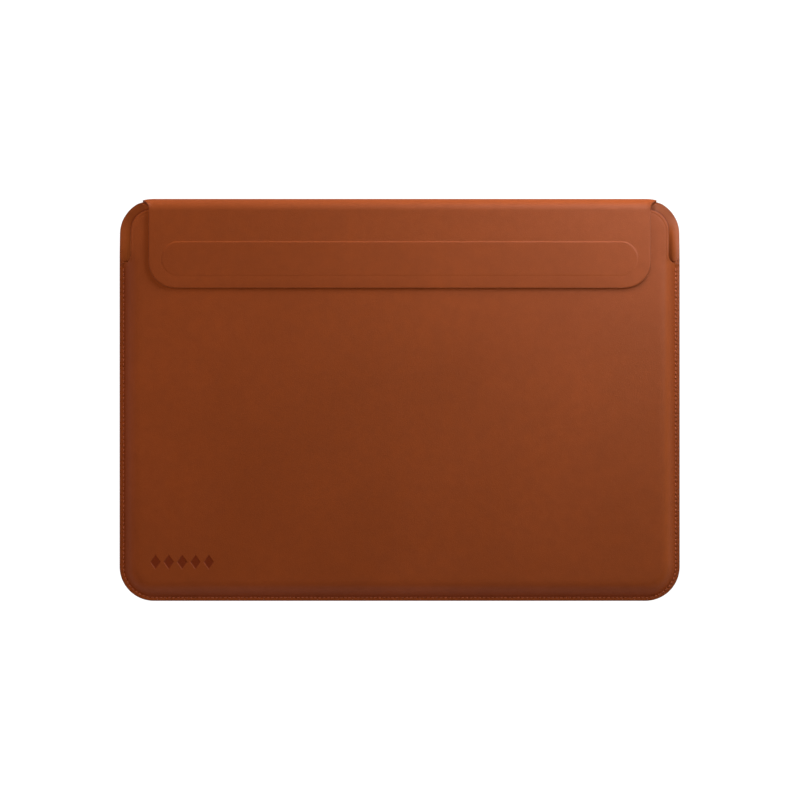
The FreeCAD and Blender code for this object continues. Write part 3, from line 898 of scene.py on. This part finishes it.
def back_edge_stack(u, w):
    return LEATHER + (back_lining_depth(u, w) + LINING - LEATHER) * rise(w, SINK_Y[0], 1.5)


def deeper(depth, more):
    return lambda u, w: depth(u, w) + more


def pressed_and_shaded(panel, values, reverse=False):
    """Gives a sheet's face, or its reverse, its share of the darker tone: the pressed mark, and painted shade
    and shadow.
    """
    attribute = panel.data.attributes.new("pressed_and_shaded", "FLOAT", "POINT")
    sides = (values * 0, values) if reverse else (values, values * 0)
    attribute.data.foreach_set("value", np.concatenate(sides).astype(np.float32))


def placed(obj, where, *nodes):
    """Puts a piece on its body, or, for a piece that crosses a fold, bakes its place into its mesh; and hides
    the nodes that it stands for.
    """
    if isinstance(where, str):
        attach(obj, where)
    else:
        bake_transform(obj)
    if nodes:
        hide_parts(*nodes)
    return obj


def declared(surface, mesh, depth):
    """Works out where a sheet's face lies at a depth; the points are not used."""
    points = surface.points(mesh[0][:, 0], mesh[0][:, 1], depth) * MM


def padding(name, surface, outline, material):
    """A sheet of foam with rounded edges."""
    mesh = triangulated(outline, np.concatenate([
        grid(-150, 150, -105, 108, 8, 8),
        resampled(outline * 0.993, 3.0),
        resampled(outline * 0.985, 3.0),
    ]), 3.0)
    half_x, low, high = outline[:, 0].max(), outline[:, 1].min(), outline[:, 1].max()

    def crown(u, w):
        return FOAM_CROWN * (1 - smooth(inside_box(u, w, half_x, low, high, 10, 9) / 2.2))

    outer = deeper(crown, BOARD_DEPTH)
    return sheet_object(name, surface, *mesh, outer, lambda u, w: FOAM_DEPTH - crown(u, w), [material] * 3)


def build_front(skin, reverse, paint, lining, foam):
    seam = rim_rings(SEAM_ROWS, STITCH_PITCH / 4, SEAM_END_Y + 6)
    slope = rim_rings((*SLOPE_ROWS, 14, 17), 1.6, MOUTH_Y)
    free = inset_rings(front_outline, (0.55, 0.85, 1.15, 1.35, 1.5, 1.7, 2.0, 2.6, 3.6), 1.2)
    free = free[free[:, 1] > SEAM_END_Y - 2]
    cx, cy = MARK_CENTRE
    fine = grid(cx - 20, cx + 20, cy - 6, cy + 6, 0.3, 0.3)
    coarse = grid(-145, 145, -100, 104, 5.0, 5.0)
    near_mark = (np.abs(coarse[:, 0] - cx) < 22) & (np.abs(coarse[:, 1] - cy) < 8)
    extra = np.concatenate([seam, slope, free, fine, coarse[~near_mark]])
    mesh = triangulated(front_outline(PAINT), extra, 1.0)
    panel = sheet_object("front_panel", FRONT, *mesh, 0.0, LEATHER, [skin, reverse, paint])
    u, w = mesh[0].T
    # Darker tone on the front leather: the pressed mark, and painted shade just inside the seam.
    pressed_and_shaded(panel, np.maximum(MARK_RUB * mark(u, w), SEAM_SHADE * seam_shade(u, w)))
    placed(panel, "sleeve", "front_leather")
    declared(FRONT, mesh, 0.0)

    outline = front_outline(PAINT)
    outline = np.concatenate([outline, outline[:1]])
    path = resampled(outline, 0.8)
    path = path[path[:, 1] > SEAM_END_Y - 0.5]
    bead = edge_bead("front_edge_bead", FRONT_FORM, path, front_drop, front_stack, paint)
    placed(bead, "sleeve", "front_edge_paint")

    wall = rim_rings(WALL_ROWS, 2.5, MOUTH_Y)
    mesh = triangulated(lining_outline(), np.concatenate([wall, grid(-145, 145, -100, 104, 8, 8)]), 2.0)
    inner = deeper(front_lining_depth, LINING)
    sheet = sheet_object("front_lining_sheet", FRONT_FORM, *mesh, front_lining_depth, inner, [lining] * 3)
    placed(sheet, "sleeve", "front_lining")
    declared(FRONT_FORM, mesh, 1.0)

    outline = box_outline(FOAM_X, FOAM_BOTTOM, 107.3, FOAM_RADIUS, 9.0)
    pad = padding("front_padding", FRONT_FORM, outline, foam)
    placed(pad, "sleeve", "front_foam")


def build_back(skin, reverse, rim, paint, lining, foam, tape):
    strap = grid(-STRAP_X, STRAP_X, 103.2, BACK_END, 6.0, 0.65)
    ends = both_ends(140, ROOT_X, FOLD_Y, BACK_END, 0.9)
    seam = rim_rings(SEAM_ROWS, STITCH_PITCH / 4, SEAM_END_Y + 2)
    slope = rim_rings((0.9, 1.8, 3.0, *SLOPE_ROWS, 15), 1.6, 99)
    slope = slope[(sewn_inset(slope[:, 0], slope[:, 1]) > 3.4) | (slope[:, 1] > SEAM_END_Y + 2)]
    corners = both_ends(131, 159, 97, 114, 1.4)
    coarse = grid(-145, 145, -100, 100, 6, 6)
    mesh = triangulated(back_outline(PAINT), np.concatenate([strap, ends, seam, slope, corners, coarse]), 1.0)
    panel = sheet_object("back_panel", BACK, *mesh, 0.0, LEATHER, [skin, reverse, paint])
    placed(panel, LOWER_FOLD, "back_leather")
    declared(BACK, mesh, 0.0)

    wall = slope[slope[:, 1] > FACING_Y]
    step = resampled(np.array([(-150, 104.0), (150, 104.0)]), 4) + (0, 0.3)
    # Fine rows of points for the painted shadow beside the front panel's free edge
    line = inset_rings(front_outline, (-1.7, -1.3, -0.9, -0.5, -0.1, 0.3), 1.0)
    line = line[line[:, 1] > SEAM_END_Y - 2]
    extra = np.concatenate([strap, ends, wall, corners, line, step, grid(-150, 150, FACING_Y + 2, 102, 6, 3)])
    mesh = triangulated(facing_outline(), extra, 1.2)
    inner = deeper(back_lining_depth, LINING)
    materials = [reverse, rim, paint]
    sheet = sheet_object("back_facing_sheet", BACK_FORM, *mesh, back_lining_depth, inner, materials)
    u, w = mesh[0].T
    # Painted shadow on the facing: a dark line beside the front panel's free edge.
    pressed_and_shaded(sheet, FREE_EDGE_SHADOW * free_edge_shadow(u, w), reverse=True)
    placed(sheet, LOWER_FOLD, "back_facing")
    declared(BACK_FORM, mesh, 1.0)

    wall = rim_rings(WALL_ROWS, 2.5, FACING_Y)
    outline = mirrored(np.concatenate([
        sewn_corner(LINING_INSET), [(HALF_WIDTH - LINING_INSET, FACING_Y - 0.1)]
    ]))
    mesh = triangulated(outline, np.concatenate([wall, grid(-145, 145, -100, 56, 8, 8)]), 2.0)
    sheet = sheet_object("back_lining_sheet", BACK_FORM, *mesh, back_lining_depth, inner, [lining] * 3)
    placed(sheet, "sleeve", "back_lining")
    declared(BACK_FORM, mesh, 1.0)

    outline = box_outline(FOAM_X, FOAM_BOTTOM, 103.2, FOAM_RADIUS, 8.0)
    pad = padding("back_padding", BACK_FORM, outline, foam)
    placed(pad, "sleeve", "back_foam")

    outline = box_outline(STRAP_X - 0.8, 104.3, BACK_END, 0, 0)
    mesh = triangulated(outline, strap, 1.0)
    strip = sheet_object("lower_fold_tape", BACK_FORM, *mesh, *TAPE_LAYER, [tape] * 3)
    placed(strip, LOWER_FOLD, "back_fold_tape")
    declared(BACK_FORM, mesh, 1.0)


def build_flap(skin, reverse, facing, paint, tape):
    strap = grid(-STRAP_X, STRAP_X, FLAP_LID, FLAP_END, 6.0, 0.65)
    ends = both_ends(140, ROOT_X, FLAP_FLAT, FLAP_END, 0.9)
    rings = []
    for inset in (-1.6, -1.2, -0.9, -0.7, -0.5, -0.3, -0.1, 0.1, 0.3, 0.5, 0.8, 1.2, 2.0):
        low, high = (y - FLAP_END_Y for y in PAD_Y)
        ring = box_outline(PAD_X - inset, low + inset, high - inset, 9.5 - inset, 9.5 - inset)
        rings.append(resampled(np.concatenate([ring, ring[:1]]), 1.2))
    for inset in (0.45, 0.7, 0.9, 1.3, 2.4):
        rings.append(resampled(flap_outline(inset), 1.2))
    extra = np.concatenate([strap, ends, *rings, grid(-140, 140, 3, FLAP_LID - 1, 5, 3)])
    mesh = triangulated(flap_outline(PAINT), extra, 0.8)
    panel = sheet_object("flap_panel", FLAP, *mesh, 0.0, LEATHER, [skin, reverse, paint])
    placed(panel, UPPER_FOLD, "flap_leather", "spine_leather")
    declared(FLAP, mesh, 0.0)

    inside_points = np.concatenate([strap, ends, grid(-140, 140, 3, FLAP_LID, 7, 4)])
    mesh = triangulated(flap_outline(0.35), inside_points, 1.0)
    layers = (flap_facing_depth, flap_stack)
    sheet = sheet_object("flap_facing_sheet", FLAP_FORM, *mesh, *layers, [reverse, facing, paint])
    placed(sheet, UPPER_FOLD, "flap_facing", "spine_facing")
    declared(FLAP_FORM, mesh, 1.5)

    outline = box_outline(STRAP_X - 0.8, FLAP_LID + 0.6, FLAP_END, 0, 0)
    mesh = triangulated(outline, strap, 1.0)
    strip = sheet_object("upper_fold_tape", FLAP_FORM, *mesh, *TAPE_LAYER, [tape] * 3)
    placed(strip, UPPER_FOLD, "flap_fold_tape", "spine_fold_tape")
    declared(FLAP_FORM, mesh, 1.0)

    right = flap_outline(PAINT)
    right = right[:len(right) // 2]
    path = resampled(np.concatenate([right[::-1] * (-1, 1), right]), 0.8)
    bead = edge_bead("flap_edge_bead", FLAP_FORM, path, flap_drop, flap_stack, paint)
    placed(bead, UPPER_FOLD, "flap_edge_paint")


def build_rim_paint(paint):
    path = resampled(rim_path(PAINT, SEAM_END_Y), 0.8)
    bead = edge_bead("seam_edge_bead", FRONT_FORM, path, 0.0, 2 * LEATHER, paint)
    placed(bead, "sleeve", "rim_edge_paint")
    right = resampled(np.concatenate([[(HALF_WIDTH - PAINT, SEAM_END_Y)], back_top(PAINT)]), 0.6)
    for name, path in (("right", right), ("left", right[::-1] * (-1, 1))):
        bead = edge_bead(f"{name}_corner_bead", BACK_FORM, path, 0.0, back_edge_stack, paint)
        placed(bead, LOWER_FOLD)


# Each light: place, width, height, power, colour, whether it casts shadows, and whether it makes highlights
COOL = (0.78, 0.93, 1.0)
NEUTRAL = (0.94, 0.98, 1.0)
ROSE = (1.0, 0.95, 1.0)
LIGHTS = {
    "key": ((0.22, 0.16, 0.20), 0.20, 0.20, 0.76, COOL, True, True),
    "key_top": ((0.12, 0.30, 0.22), 0.20, 0.20, 0.67, NEUTRAL, True, True),
    "left_fill": ((-0.50, 0.10, 0.35), 0.40, 0.40, 2.00, ROSE, True, False),
    "bottom_fill": ((0.00, -0.60, 0.30), 0.60, 0.30, 1.90, ROSE, False, False),
    "top_strip": ((0.05, 0.60, 0.08), 0.70, 0.10, 5.20, NEUTRAL, False, False),
    "right_strip": ((0.70, 0.00, 0.12), 0.50, 0.12, 3.43, COOL, False, False),
}


def build_stage():
    """White floor, soft studio light from the upper right with weak fills, and the camera straight above."""
    bpy.ops.mesh.primitive_plane_add(size=20)
    floor = bpy.context.object
    floor.name = "floor"
    floor.data.materials.append(floor_material())
    floor.visible_glossy = False

    world = bpy.data.worlds.new("studio")
    world.use_nodes = True
    world.node_tree.nodes["Background"].inputs["Color"].default_value = (1, 1, 1, 1)
    world.node_tree.nodes["Background"].inputs["Strength"].default_value = 0.02
    bpy.context.scene.world = world

    for name, (place, width, height, power, colour, shadows, highlights) in LIGHTS.items():
        light = bpy.data.lights.new(name, "AREA")
        light.shape = "RECTANGLE"
        light.size = width
        light.size_y = height
        light.energy = power
        light.color = colour
        light.use_shadow = shadows
        lamp = bpy.data.objects.new(name, light)
        lamp.location = place
        lamp.rotation_euler = (-Vector(place)).to_track_quat("-Z", "Y").to_euler()
        lamp.visible_glossy = highlights
        bpy.context.scene.collection.objects.link(lamp)

    camera = bpy.data.cameras.new("camera")
    camera.lens = 300
    camera.sensor_width = 36
    eye = bpy.data.objects.new("camera", camera)
    eye.location = (0.0002, 0.0, 3.809 + SEAM_Z * MM)
    bpy.context.scene.collection.objects.link(eye)
    bpy.context.scene.camera = eye
    bpy.context.scene.view_settings.view_transform = "Standard"


def main():
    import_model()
    skin = leather("leather_skin", BROWN)
    front_skin = leather("leather_front", BROWN, pressed_and_shaded=True)
    reverse = leather("leather_reverse", FACING_BROWN, grain=0.5)
    facing = leather("leather_facing", FACING_BROWN, grain=0.8)
    rim = leather("leather_rim", FACING_BROWN, grain=0.8, pressed_and_shaded=True)
    paint = edge_paint("edge_paint_brown", PAINT_BROWN)
    lining = microfibre("lining_microfibre", LINING_BROWN)
    foam = speckled("foam_sheet", (0.03, 0.03, 0.03), 0.9, 2500.0, 0.0002)
    tape = woven("fold_tape", (0.45, 0.42, 0.36), 900.0)
    seam_thread = thread("seam_thread_brown", THREAD_BROWN)

    build_front(front_skin, reverse, paint, lining, foam)
    build_back(skin, reverse, rim, paint, lining, foam, tape)
    build_flap(skin, reverse, facing, paint, tape)
    build_rim_paint(paint)
    placed(stitches("front_stitches", FRONT, seam_thread), "sleeve", "seam_thread")
    placed(stitches("back_stitches", BACK, seam_thread), "sleeve")

    board = speckled("grey_board", (0.36, 0.33, 0.29), 0.85, 900.0, 0.00005)
    carrier = speckled("carrier_strip", (0.02, 0.02, 0.022), 0.6, 1800.0, 0.00004)
    plating = speckled("nickel_plating", (0.6, 0.59, 0.57), 0.28, 1200.0, 0.00001, metallic=1.0)
    for node, material in (
        ("front_board", board),
        ("back_board", board),
        ("flap_board", board),
        ("front_magnet_carrier", carrier),
        ("flap_magnet_carrier", carrier),
        ("front_magnets", plating),
        ("flap_magnets", plating),
    ):
        dressed = bpy.data.objects[node]
        dressed.data.materials.clear()
        dressed.data.materials.append(material)

    build_stage()


main()
